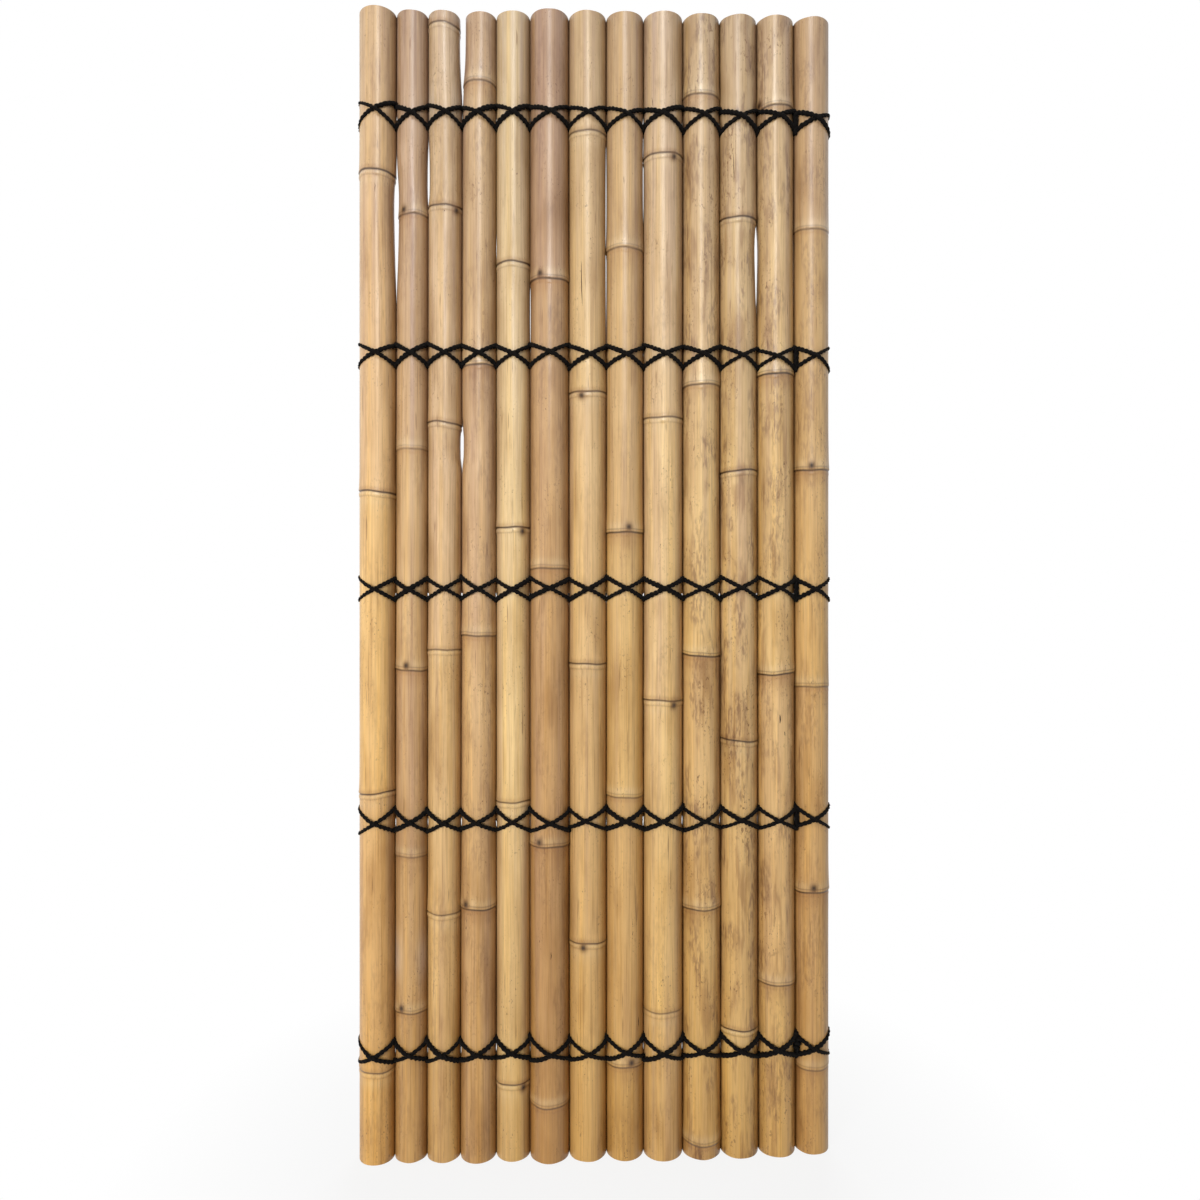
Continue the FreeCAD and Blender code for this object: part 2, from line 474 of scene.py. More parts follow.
# The cords: thinner where a gap presses them, twisted from two strands, with loose fibres
CORD_SEED = 100
ROPE_RADIUS = 3.7
ROPE_RADIUS_IN_GAP = 1.1
ROPE_STEP = 1.8
ROPE_TWIST = 15.0
STRAND_SIDES = 6
STRAND_OFFSET = 0.34
STRAND_GIRTH = 0.74
STRAND_UNEVEN = 0.09
UNEVEN_STEPS = 5
FIBRE_EVERY = 9
FIBRE_END_STEPS = 8
FIBRE_STEPS = 6
FIBRE_ROOT = 0.8
FIBRE_HALF_WIDTH = 0.22
FIBRE_DEPTH = 0.35
FIBRE_FORWARD = (0.3, 0.9)
FIBRE_AWAY = (0.6, 3.2)
FIBRE_LEAST_RADIUS = ROPE_RADIUS * 0.8
FIBRE_FACES = [(0, 1, 3), (1, 2, 3), (2, 0, 3)]

# The settings of a cord's smooth line, and a direction that no cord starts along
SPLINE_STEPS = 8
SPLINE_ORDER = 3
ODD_DIRECTION = (0.31, 0.47, 0.83)

# A cord's way over a culm: points on the face, how far round they go, the share of the climb done there,
# how uneven its heights are, how far along it lifts over the other cord, and how full it may be. In cord
# radii, its middle stands off the skin. Pressed round the panel's edge it lies closer and is thinner.
FACE_POINTS = 11
FACE_TURN = math.radians(74)
FACE_CLIMB = 0.98
HEIGHT_SPREAD = 1.6
CROSSING_REACH = 0.28
FULLNESS = (0.8, 1.12)
STANDOFF = 0.8
PRESSED_CLOSER = 0.7
PRESSED_THINNING = 0.35


class Lay(NamedTuple):
    """One cord of a row: it climbs (1) or falls (-1) to the right, and one cord has a tied end.

    The rest is in cord radii: how far above and below the rail it passes, how far behind it, and how far
    it lifts over the other cord.
    """

    name: str
    climb: int
    tied: bool
    rise: float
    behind: float
    lift: float


LAYS = (
    Lay("under", 1, False, 1.7, 1.0, 0.0),
    Lay("over", -1, True, 1.9, 2.6, 1.0),
)

# The tied end's points from the last gap's middle: down, then up again, and the knot of the bottom row
TIE_RADIUS = ROPE_RADIUS * 0.8
TIE_DEPTH = 0.6
TIE_DOWN = [(-1, 16, 20), (-1, 0, 21), (-1, -3, 8)]
TIE_UP = [(-1, -3, -10), (0, -1, -21), (1.5, 2, -18), (2.5, -2, 0), (1.5, 1, 19), (1, 16, 18)]
KNOT_POINTS = 17
KNOT_TURNS = 2
KNOT_RADIUS = 4.5
KNOT_FORWARD = 4.0
KNOT_TOP = 12.0
KNOT_HEIGHT = 14.0

# Noise on the skin: scale, stretch along the culm, detail
SKIN_NOISE = {
    "fibre": (900.0, 0.012, 3.0),
    "stripe": (95.0, 0.016, 3.0),
    "cloud": (26.0, 0.3, 5.0),
    "grain": (330.0, 0.018, 4.0),
    "scratch": (240.0, 0.07, 1.5),
    "patch": (70.0, 0.16, 9.0),
    "mould": (34.0, 0.3, 2.0),
    "mottle": (280.0, 0.25, 7.0),
    "speckled": (32.0, 0.4, 3.0),
    "dot": (260.0, 0.5, 4.0),
    "speck": (420.0, 0.5, 1.0),
}

# How noise tints the skin: which noise, where the tint starts and is full, its linear factors
SKIN_STREAKS = (
    ("stripe", 0.52, 0.7, (1.06, 1.02, 0.84)),
    ("stripe", 0.48, 0.32, (0.88, 0.86, 0.96)),
    ("cloud", 0.52, 0.74, (0.76, 0.7, 0.62)),
    ("cloud", 0.48, 0.26, (1.14, 1.18, 1.22)),
    ("fibre", 0.5, 0.8, (0.74, 0.68, 0.6)),
    ("grain", 0.53, 0.72, (0.8, 0.74, 0.66)),
    ("grain", 0.47, 0.28, (1.12, 1.12, 1.08)),
)

FLOOR_REACH = 8.0
FLOOR_DROP = 0.0005


class Softbox(NamedTuple):
    """A soft area light, in metres and watts. One that isn't mirrored leaves no highlight."""

    name: str
    place: tuple
    target: tuple
    width: float
    height: float
    power: float
    mirrored: bool = False


SOFTBOXES = (
    Softbox("front", (-1.9, -2.75, 1.2), (0.0, 0.0, 0.9), 1.0, 1.4, 78.0),
    Softbox("gloss", (-0.05, -2.3, 2.6), (0.0, 0.0, 1.4), 0.45, 2.0, 22.0, True),
    Softbox("left", (-2.6, 0.2, 1.2), (0.0, 0.0, 1.0), 1.0, 1.8, 9.0),
    Softbox("right", (2.6, 0.2, 1.2), (0.0, 0.0, 1.0), 1.0, 1.8, 8.0),
    Softbox("top", (0.0, -0.3, 3.6), (0.0, 0.0, 1.0), 1.6, 1.0, 6.0),
    Softbox("rear", (0.4, 2.6, 2.0), (0.0, 0.0, 0.9), 2.0, 1.6, 60.0),
)


def linear(rgb):
    """A colour given in 0 to 255 as the renderer's linear values."""
    share = np.asarray(rgb, float) / 255
    return np.where(share <= 0.04045, share / 12.92, ((share + 0.055) / 1.055) ** 2.4)


def hump(distance, width):
    """A bell curve: 1 in the middle, fading over the width."""
    return np.exp(-((distance / width) ** 2))


def paint(tone, colour, share):
    """Tones moved part of the way towards a colour."""
    return tone + (linear(colour) - tone) * share[..., None]


# The panel's layout, read from the frame


class CulmLine:
    """Axis and edges of a culm along its height, read from its solid in the frame."""

    def __init__(self, number):
        self.number = number
        self.solid_name = f"pole_{number:02d}"
        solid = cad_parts[self.solid_name].data
        points = np.empty(len(solid.vertices) * 3)
        solid.vertices.foreach_get("co", points)
        points = points.reshape(-1, 3) / MM
        self.foot, self.foot_radius = self.rim(points, points[:, 2].min())
        self.tip, self.tip_radius = self.rim(points, points[:, 2].max())

    @staticmethod
    def rim(points, height):
        """Middle and outer radius of the cut end at a height."""
        near = points[np.abs(points[:, 2] - height) < RIM_DEPTH]
        middle = (near.min(axis=0) + near.max(axis=0)) / 2
        return middle, np.ptp(near[:, 0]) / 2

    def share(self, height):
        """0 at the foot and 1 at the tip."""
        return (height - self.foot[2]) / (self.tip[2] - self.foot[2])

    def plain_radius(self, height):
        """Radius of the solid, on the straight line from foot to tip."""
        return self.foot_radius + (self.tip_radius - self.foot_radius) * self.share(height)

    def axis(self, height):
        """x and y of the solid's axis."""
        share = self.share(height)
        x = self.foot[0] + (self.tip[0] - self.foot[0]) * share
        y = self.foot[1] + (self.tip[1] - self.foot[1]) * share
        return x, y

    def edge(self, height, direction):
        """x of the dressed culm's left (-1) or right (1) edge: it meets its neighbour half-way."""
        own = self.axis(height)[0] + direction * self.plain_radius(height)
        beside = self.number - 1 + direction
        if not 0 <= beside < len(lines):
            return own + direction * SKIN_ALLOWANCE
        other = lines[beside]
        gap = (other.axis(height)[0] - direction * other.plain_radius(height) - own) * direction
        give = sum(
            back * hump(height - row.height + ROW_GAP_DROP, ROW_GAP_REACH)
            for row, back in zip(rows, ROW_GAPS)
        )
        for opening in OPEN_GAPS:
            if opening.after == min(self.number, other.number):
                give = give + opening.give(height)
        return own + direction * (np.minimum(gap / 2, FILL_LIMIT) - give)

    def radius(self, height):
        """Half of the dressed culm's width."""
        return (self.edge(height, 1) - self.edge(height, -1)) / 2

    def centre(self, height):
        """x and y of the dressed culm's middle."""
        return (self.edge(height, 1) + self.edge(height, -1)) / 2, self.axis(height)[1]

    def free_side(self):
        """-1 for the first culm's left and 1 for the last one's right, which nothing lies against."""
        return (self.number == len(CULMS)) - (self.number == 1)


class Row:
    """Height of a lashing row and the place of its rail, read from the frame."""

    def __init__(self, number):
        self.number = number
        low, high = (np.array(corner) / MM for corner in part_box(f"rail_{number}"))
        self.height = (low[2] + high[2]) / 2
        self.left = low[0]
        self.right = high[0]
        self.rail_front = low[1]
        self.rail_back = high[1]
        self.half_rail = (high[2] - low[2]) / 2


rows = [Row(number) for number in range(1, ROW_COUNT + 1)]
lines = [CulmLine(number) for number in range(1, len(CULMS) + 1)]


# Meshes


class Shell:
    """Points and faces of a piece, collected part by part, with each face's material number."""

    def __init__(self):
        self.points = []
        self.faces = []
        self.kinds = []
        self.count = 0

    def add(self, points, faces, kinds=0):
        """Faces count from these points' first; kinds is a number, or a list with one per face."""
        self.points.append(np.asarray(points))
        self.faces += [tuple(self.count + corner for corner in face) for face in faces]
        self.kinds += kinds if isinstance(kinds, list) else [kinds] * len(faces)
        self.count += len(points)


def grid_faces(rings, sides):
    """Quads between closed rings of points."""
    faces = []
    for low in range(0, (rings - 1) * sides, sides):
        for side in range(sides):
            beside = (side + 1) % sides
            faces.append((low + side, low + beside, low + sides + beside, low + sides + side))
    return faces


def end_faces(rings, sides):
    """The two faces that close a grid at its ends."""
    last = (rings - 1) * sides
    return [tuple(range(sides))[::-1], tuple(range(last, last + sides))]


def new_piece(name, shell, solid_name, materials):
    """A smooth mesh piece that stands for a solid and rides with the panel."""
    mesh = bpy.data.meshes.new(name)
    mesh.from_pydata((np.concatenate(shell.points) * MM).tolist(), [], shell.faces)
    for material in materials:
        mesh.materials.append(material)
    mesh.polygons.foreach_set("material_index", shell.kinds)
    mesh.polygons.foreach_set("use_smooth", [True] * len(mesh.polygons))
    mesh.set_sharp_from_angle(angle=math.radians(SMOOTH_ANGLE_DEG))
    piece = bpy.data.objects.new(name, mesh)
    bpy.context.scene.collection.objects.link(piece)
    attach(piece, "root")
    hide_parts(solid_name)
    return piece


def write_tones(piece, tones, stain):
    """Tones of a piece's first points, and how stained it is, for the skin's shader."""
    colours = np.full((len(piece.data.vertices), 4), stain)
    colours[: len(tones), :3] = tones
    layer = piece.data.color_attributes.new("tone", "FLOAT_COLOR", "POINT")
    layer.data.foreach_set("color", colours.ravel())


def write_shine(piece, shine):
    """Gloss of a piece's first points, for the skin's shader; the others have none."""
    gloss = np.zeros(len(piece.data.vertices))
    gloss[: len(shine)] = shine
    layer = piece.data.attributes.new("shine", "FLOAT", "POINT")
    layer.data.foreach_set("value", gloss)


# Shader helpers


def new_material(name):
    material = bpy.data.materials.new(name)
    material.use_nodes = True
    tree = material.node_tree
    return material, tree, tree.nodes["Principled BSDF"]


def add_node(tree, kind, settings=None, **inputs):
    """A shader node; an input is a value or another node's output, and _0 means the first input."""
    node = tree.nodes.new(kind)
    for key, value in (settings or {}).items():
        setattr(node, key, value)
    for key, value in inputs.items():
        socket = node.inputs[int(key[1:]) if key[1:].isdigit() else key.replace("_", " ")]
        if isinstance(value, bpy.types.NodeSocket):
            tree.links.new(value, socket)
        else:
            socket.default_value = value
    return node


def streaks(tree, scale, stretch, detail):
    """Noise drawn out along the culm, as fibres are."""
    place = add_node(tree, "ShaderNodeTexCoord").outputs["Object"]
    drawn = add_node(tree, "ShaderNodeMapping", Vector=place, Scale=(1.0, 1.0, stretch)).outputs["Vector"]
    noise = add_node(tree, "ShaderNodeTexNoise", Vector=drawn, Scale=scale, Detail=detail)
    return noise.outputs["Fac"]


def ramp(tree, value, low, high, bottom=0.0, top=1.0):
    """A value stretched from one range to another and clamped."""
    node = add_node(
        tree, "ShaderNodeMapRange", Value=value, From_Min=low, From_Max=high, To_Min=bottom, To_Max=top
    )
    return node.outputs["Result"]


def times(tree, first, second):
    return add_node(tree, "ShaderNodeMath", {"operation": "MULTIPLY"}, _0=first, _1=second).outputs[0]


def blended(tree, blend_type, share, first, second):
    """Two colours blended; each is a socket or linear values."""
    settings = {"data_type": "RGBA", "blend_type": blend_type}
    return add_node(tree, "ShaderNodeMix", settings, _0=share, _6=first, _7=second).outputs[2]


def tinted(tree, share, colour, factors):
    """A colour multiplied, as far as the share goes, by linear factors."""
    return blended(tree, "MULTIPLY", share, colour, (*factors, 1.0))


def mix(tree, share, first, second):
    """Two colours mixed; the first is a socket or, like the second, 0 to 255 values."""
    if isinstance(first, tuple):
        first = (*linear(first), 1.0)
    return blended(tree, "MIX", share, first, (*linear(second), 1.0))


def add_bump(tree, shader, height, strength, distance):
    bump = add_node(tree, "ShaderNodeBump", Strength=strength, Distance=distance, Height=height)
    tree.links.new(bump.outputs["Normal"], shader.inputs["Normal"])


def skin_material():
    """Dried culm skin: painted tone, streaks, stains, mould, scratches, specks and a satin gloss.

    The painted tone holds painted shade on the sides and painted highlights and shade at the nodes.
    """
    material, tree, shader = new_material("culm_skin")
    painted = add_node(tree, "ShaderNodeAttribute", {"attribute_name": "tone"}).outputs
    shine = add_node(tree, "ShaderNodeAttribute", {"attribute_name": "shine"}).outputs["Fac"]
    noise = {name: streaks(tree, *settings) for name, settings in SKIN_NOISE.items()}
    colour = painted["Color"]
    stained = painted["Alpha"]
    for name, start, full, factors in SKIN_STREAKS:
        colour = tinted(tree, ramp(tree, noise[name], start, full), colour, factors)
    scratch = ramp(tree, noise["scratch"], 0.68, 0.76, 0.0, 0.55)
    colour = mix(tree, scratch, colour, SCRATCH_BROWN)
    blot = times(tree, ramp(tree, noise["patch"], 0.53, 0.64, 0.0, 0.6), stained)
    colour = tinted(tree, blot, colour, BLOT_TINT)
    mouldy = times(tree, ramp(tree, noise["mould"], 0.5, 0.6), stained)
    mottle = ramp(tree, noise["mottle"], 0.44, 0.6, 0.1, 0.75)
    colour = tinted(tree, times(tree, mouldy, mottle), colour, MOULD_TINT)
    speckled = ramp(tree, noise["speckled"], 0.48, 0.64)
    dots = times(tree, ramp(tree, noise["dot"], 0.585, 0.655, 0.0, 0.8), speckled)
    colour = mix(tree, times(tree, dots, stained), colour, DOT_BROWN)
    specks = times(tree, ramp(tree, noise["speck"], 0.66, 0.74, 0.0, 0.7), speckled)
    colour = mix(tree, specks, colour, SPECK_BROWN)
    coat = times(tree, shine, ramp(tree, noise["stripe"], 0.3, 0.7, 0.6, 1.4))
    tree.links.new(colour, shader.inputs["Base Color"])
    tree.links.new(ramp(tree, noise["cloud"], 0.3, 0.7, 0.3, 0.46), shader.inputs["Roughness"])
    tree.links.new(coat, shader.inputs["Coat Weight"])
    shader.inputs["Coat Roughness"].default_value = 0.33
    shader.inputs["Coat IOR"].default_value = 1.65
    add_bump(tree, shader, noise["fibre"], 0.25, 0.0004)
    return material


def split_material(name, pale, dark):
    """Raw split or cut bamboo: matt wood with fibre ends and streaks."""
    material, tree, shader = new_material(name)
    fibre = streaks(tree, 700.0, 1.0, 2.0)
    cloud = streaks(tree, 60.0, 1.0, 4.0)
    colour = mix(tree, ramp(tree, cloud, 0.35, 0.7), pale, dark)
    colour = mix(tree, ramp(tree, fibre, 0.52, 0.7, 0.0, 0.6), colour, FIBRE_BROWN)
    tree.links.new(colour, shader.inputs["Base Color"])
    shader.inputs["Roughness"].default_value = 0.75
    add_bump(tree, shader, fibre, 0.3, 0.0005)
    return material


def cord_material():
    """Black plant-fibre cord: dull, with browner worn fibres."""
    material, tree, shader = new_material("cord_fibre")
    fibre = streaks(tree, 1500.0, 1.0, 2.0)
    cloud = streaks(tree, 160.0, 1.0, 3.0)
    colour = mix(tree, ramp(tree, fibre, 0.4, 0.75), (9, 8, 8), (30, 27, 25))
    colour = mix(tree, ramp(tree, cloud, 0.58, 0.8, 0.0, 0.4), colour, (46, 39, 33))
    tree.links.new(colour, shader.inputs["Base Color"])
    shader.inputs["Roughness"].default_value = 0.8
    shader.inputs["Specular IOR Level"].default_value = 0.1
    add_bump(tree, shader, fibre, 0.6, 0.0006)
    return material


skin = skin_material()
cut_end = split_material("culm_cut_end", (214, 186, 138), (176, 140, 92))
bore_wall = split_material("culm_inside", (222, 200, 158), (186, 158, 112))
split_face = split_material("rail_split_face", (226, 206, 166), (196, 166, 118))
crack_dark = split_material("culm_crack", (70, 46, 26), (48, 30, 16))
cord_fibre = cord_material()

# Material numbers of the faces, in the order of each piece's materials
CULM_MATERIALS = (skin, cut_end, bore_wall, crack_dark)
SKIN, CUT_END, BORE_WALL, CRACK = range(4)
RAIL_MATERIALS = (skin, split_face)
RAIL_SPLIT = 1


# Culms


def ring_heights(line, culm):
    """Heights of the culm's rings: close together at the nodes and rows, wide apart between them."""
    foot, tip = line.foot[2], line.tip[2]
    heights = set(np.arange(foot, tip, RING_SPACING))
    for row in rows:
        middle = row.height - ROW_GAP_DROP
        heights.update(np.arange(middle - ROW_SPAN, middle + ROW_SPAN, ROW_RING_SPACING))
    core = np.arange(-NODE_CORE, NODE_CORE, NODE_CORE_SPACING)
    beyond = np.arange(NODE_CORE, NODE_SPAN, NODE_RING_SPACING)
    for node in culm.nodes:
        close = node.height + np.concatenate([-beyond, core, beyond])
        heights = {h for h in heights if abs(h - node.height) > NODE_SPAN}
        heights.update(h for h in close if foot + END_MARGIN < h < tip - END_MARGIN)
    heights.update((foot, tip))
    return np.array(sorted(heights))


def plain_tone(line, culm, height, noise):
    """A culm's colour without its nodes, changing along its height and from one length to the next."""
    share = np.clip(line.share(height), 0, 1)
    upper = np.clip(share * 2 - 1, 0, 1)[..., None]
    lower = np.clip(1 - share * 2, 0, 1)[..., None]
    tint = 1 + (np.array(TOP_TINT) - 1) * upper + (np.array(FOOT_TINT) - 1) * lower
    breaks = sorted(node.height for node in culm.nodes)
    pinker = noise.uniform(-PINK_RANGE, PINK_RANGE, len(breaks) + 1)[np.searchsorted(breaks, height)]
    return linear(culm.tone) * np.array(SKIN_TINT) * tint * np.array(PINK_TINT) ** pinker[..., None]


class CulmSkin:
    """A culm's skin as arrays over its rings and sides: its shape, tone and gloss."""

    def __init__(self, line, culm, noise):
        self.line = line
        self.tip_down = culm.tip_down
        self.look = TIP_DOWN if culm.tip_down else TIP_UP
        self.height, self.angle = np.meshgrid(ring_heights(line, culm), SIDE_ANGLES, indexing="ij")
        self.across = np.sin(self.angle)
        self.radius = line.radius(self.height)
        self.lift = np.zeros_like(self.height)
        self.shine = np.full_like(self.height, PLAIN_SHINE)
        self.tone = plain_tone(line, culm, self.height, noise)
        for node in culm.nodes:
            self.dress_node(node, noise)
        self.shade_sides_and_bloom()
        self.cut_ends(noise)

    def dress_node(self, node, noise):
        """A node's tilt, swelling, ridges, bands of colour (some of them painted highlight and shade) and
        gloss, and its bud scar.
        """
        distance = self.height - node.height
        wave = sum(size * np.sin(turns * self.angle + noise.uniform(0, 6)) for turns, size in NODE_WAVES)
        self.lift += hump(distance, NODE_WAVE_REACH) * (node.tilt * self.across / 2 + wave)
        if self.tip_down:
            fading = np.exp(-np.abs(distance) / FLARE_SHINE_FADE)
            self.shine += FLARE_SHINE * fading * (distance > FLARE_SHINE_EDGE)
        else:
            self.shine += RIDGE_SHINE * hump(distance - RIDGE_SHINE_MIDDLE, RIDGE_SHINE_REACH)
        self.radius += node.ridge * self.node_form(distance)
        for colour, share, dark_share, middle, reach in self.look.bands:
            strength = min(1.0, share + dark_share * node.dark)
            self.tone = paint(self.tone, colour, strength * hump(distance - middle, reach))
        if node.scar is not None:
            self.add_scar(node.scar, distance)

    def node_form(self, distance):
        """How far a plain node stands proud at a distance above its line."""
        look = self.look
        over = (1 + np.tanh(distance / (2 * LINE_STEP))) / 2
        form = look.above * np.exp(-np.clip(distance, 0, None) / look.fade_above) * over
        form += look.below * np.exp(np.clip(distance, None, 0) / look.fade_below) * (1 - over)
        for height, middle, reach in look.ridges:
            form += height * hump(distance - middle, reach)
        return form

    def add_scar(self, place, distance):
        """A raised dark bud scar with a brown rim, on the swelling side of a node."""
        around = (self.angle - math.asin(place) + math.pi) % (2 * math.pi) - math.pi
        along = distance - self.look.scar_middle
        off = np.hypot(around * self.radius / SCAR_HALF_WIDTH, along / SCAR_HALF_HEIGHT)
        self.radius += SCAR_BUMP * hump(off, SCAR_BUMP_REACH)
        self.tone = paint(self.tone, SCAR_RIM, SCAR_RIM_SHARE * hump(off, SCAR_RIM_REACH))
        self.tone = paint(self.tone, SCAR_BROWN, hump(off, SCAR_DARK_REACH))
        self.shine *= 1 - hump(off, SCAR_DULL_REACH)

    def shade_sides_and_bloom(self):
        """Dulls the skin towards the foot, paints shade on the sides, most in the grooves, and adds the
        white bloom.
        """
        # A mask of painted shade that grows towards the culm's sides and is halved on a side with no
        # neighbour
        edge = np.clip((np.abs(self.across) - SIDE_SHADE_EDGE) / (1 - SIDE_SHADE_EDGE), 0, 1)
        side_shade = SIDE_SHADE_SOFT * self.across**2 + (1 - SIDE_SHADE_SOFT) * edge**2
        free = self.across * self.line.free_side() > 0
        side_shade = np.where(free, FREE_SIDE_SHARE * side_shade, side_shade)
        self.shine *= np.clip((self.height - DULL_FOOT) / DULL_RISE, DULL_LEAST, 1.0)
        self.shine *= np.clip(1 - GROOVE_DULLING * side_shade, 0, 1)
        for bloom in BLOOMS:
            if bloom.culm == self.line.number:
                white = BLOOM_SHARE * hump(self.height - bloom.middle, bloom.reach) * self.across**2
                self.tone = paint(self.tone, BLOOM_WHITE, white)
        # Painted shade: the tone is darkened by the side shade mask
        self.tone = self.tone * (1 - side_shade[..., None] * np.array(SIDE_SHADE_LOSS))

    def cut_ends(self, noise):
        """Lets the nodes' waves fade out towards the ends, and makes the saw cuts a little uneven."""
        to_end = np.minimum(self.height - self.height[0], self.height[-1] - self.height)
        self.lift *= np.clip(to_end / END_FADE, 0, 1)
        rough = 1 + np.sin(self.angle * noise.integers(2, 6) + noise.uniform(0, 6))
        self.lift += np.where(to_end == 0, ROUGH_CUT * rough, 0.0)

    def points(self):
        """The skin's points, ring by ring."""
        x, y = self.line.centre(self.height)
        x = x + self.radius * self.across
        y = y - self.radius * np.cos(self.angle)
        return np.stack([x, y, self.height + self.lift], axis=-1)


def add_end(shell, line, rim, diaphragm, at_tip, noise):
    """A culm's cut end: the section of its wall, and the bore as far as the first diaphragm."""
    middle = rim.mean(axis=0)
    wall = CULM_WALL + WALL_UNEVEN * np.sin(SIDE_ANGLES * 2 + noise.uniform(0, 6))
    inward = 1 - wall / np.linalg.norm(rim[:, :2] - middle[:2], axis=1)
    bore = middle + (rim - middle) * inward[:, None]
    bore[:, 2] = rim[:, 2]
    bottom = bore.copy()
    bottom[:, 2] = diaphragm
    bottom[:, :2] += np.array(line.centre(diaphragm)) - middle[:2]
    hub = 2 * CULM_SIDES
    section = grid_faces(2, CULM_SIDES)
    inside = section + [
        (CULM_SIDES + side, CULM_SIDES + (side + 1) % CULM_SIDES, hub) for side in range(CULM_SIDES)
    ]
    if not at_tip:
        section = [face[::-1] for face in section]
        inside = [face[::-1] for face in inside]
    shell.add(np.concatenate([rim, bore]), section, CUT_END)
    shell.add(np.concatenate([bore, bottom, bottom.mean(axis=0)[None]]), inside, BORE_WALL)


def add_mark(shell, line, mark, noise):
    """A thin dark strip that lies on a culm's face, tapered and swaying a little."""
    height = np.linspace(mark.foot, mark.head, MARK_STATIONS)
    half = mark.width / 2 * np.sin(np.linspace(MARK_TAPER, math.pi - MARK_TAPER, MARK_STATIONS))
    sway = np.cumsum(noise.normal(0, MARK_SWAY, MARK_STATIONS))
    x, y = line.centre(height)
    reach = line.radius(height) + MARK_LIFT
    turn = math.asin(mark.across) + sway / reach
    points = []
    for edge in (turn - half / reach, turn + half / reach):
        points.append(np.stack([x + reach * np.sin(edge), y - reach * np.cos(edge), height], axis=1))
    pairs = range(0, 2 * (MARK_STATIONS - 1), 2)
    faces = [(first, first + 1, first + 3, first + 2) for first in pairs]
    shell.add(np.stack(points, axis=1).reshape(-1, 3), faces, CRACK)


def build_culm(line, culm):
    """A culm with lipped nodes, bud scars and hollow ends, in its own colours."""
    noise = np.random.default_rng(line.number)
    surface = CulmSkin(line, culm, noise)
    rings = surface.points()
    shell = Shell()
    shell.add(rings.reshape(-1, 3), grid_faces(len(rings), CULM_SIDES), SKIN)
    node_heights = [node.height for node in culm.nodes]
    add_end(shell, line, rings[0], min(node_heights), False, noise)
    add_end(shell, line, rings[-1], max(node_heights), True, noise)
    for mark in MARKS:
        if mark.culm == line.number:
            add_mark(shell, line, mark, noise)
    piece = new_piece(f"culm_{line.number:02d}", shell, line.solid_name, CULM_MATERIALS)
    write_tones(piece, surface.tone.reshape(-1, 3), culm.stain)
    write_shine(piece, surface.shine.ravel())


# Rails


def rail_wave(wave, x, start):
    """A share that varies along a rail."""
    mean, swing, length = wave
    return mean + swing * math.sin(x / length + start)


def build_rail(row):
    """A split slat: flat split face to the culms, rounded skin behind, a little uneven."""
    noise = np.random.default_rng(RAIL_SEED + row.number)
    depth = row.rail_back - row.rail_front
    turns = np.linspace(-math.pi / 2, math.pi / 2, RAIL_SIDES - 1)
    profile = [(0.0, 0.0)] + [(math.cos(turn), math.sin(turn)) for turn in turns]
    knots = np.sort(noise.uniform(row.left, row.right, RAIL_KNOTS))
    points = []
    for x in np.linspace(row.left, row.right, RAIL_STATIONS):
        knot = sum(RAIL_KNOT_HEIGHT * hump(x - at, RAIL_KNOT_REACH) for at in knots)
        thick = depth * rail_wave(RAIL_DEPTH_WAVE, x, row.number) + knot
        tall = row.half_rail * rail_wave(RAIL_HEIGHT_WAVE, x, 2 * row.number)
        for out, up in profile:
            points.append((x, row.rail_front + out * thick, row.height + RAIL_RAISE + up * tall))
    flat_sides = (0, RAIL_SIDES - 1)
    ring_kinds = [RAIL_SPLIT if side in flat_sides else SKIN for side in range(RAIL_SIDES)]
    faces = grid_faces(RAIL_STATIONS, RAIL_SIDES) + end_faces(RAIL_STATIONS, RAIL_SIDES)
    shell = Shell()
    shell.add(points, faces, ring_kinds * (RAIL_STATIONS - 1) + [RAIL_SPLIT, RAIL_SPLIT])
    piece = new_piece(f"slat_{row.number}", shell, f"rail_{row.number}", RAIL_MATERIALS)
    write_tones(piece, np.tile(linear(RAIL_SKIN), (len(points), 1)), 1.0)


# Lashing


def gap_middle(index, height):
    """x in the middle of the gap before a culm, or at the outer edge of an end culm."""
    if index == 0:
        return lines[0].edge(height, -1) + ROPE_RADIUS_IN_GAP
    if index == len(lines):
        return lines[-1].edge(height, 1) - ROPE_RADIUS_IN_GAP
    return (lines[index - 1].edge(height, 1) + lines[index].edge(height, -1)) / 2


def face_points(line, row, lay, enter, leave, fullness):
    """A cord's points and thickness over a culm's face, from where it enters to where it leaves."""
    x, y = line.centre(row.height)
    points = []
    for share in np.linspace(-1, 1, FACE_POINTS):
        turn = share * FACE_TURN
        pressed = max(0.0, share * line.free_side())
        lift = lay.lift * ROPE_RADIUS * hump(share, CROSSING_REACH)
        standoff = ROPE_RADIUS * (STANDOFF - PRESSED_CLOSER * pressed)
        out = line.radius(row.height) + standoff + lift
        across = (math.sin(turn) / math.sin(FACE_TURN) + share) / 2
        z = (enter + leave) / 2 + (leave - enter) / 2 * across * FACE_CLIMB
        thickness = ROPE_RADIUS * fullness * (1 - PRESSED_THINNING * pressed)
        points.append((x + out * math.sin(turn), y - out * math.cos(turn), z, thickness))
    return points


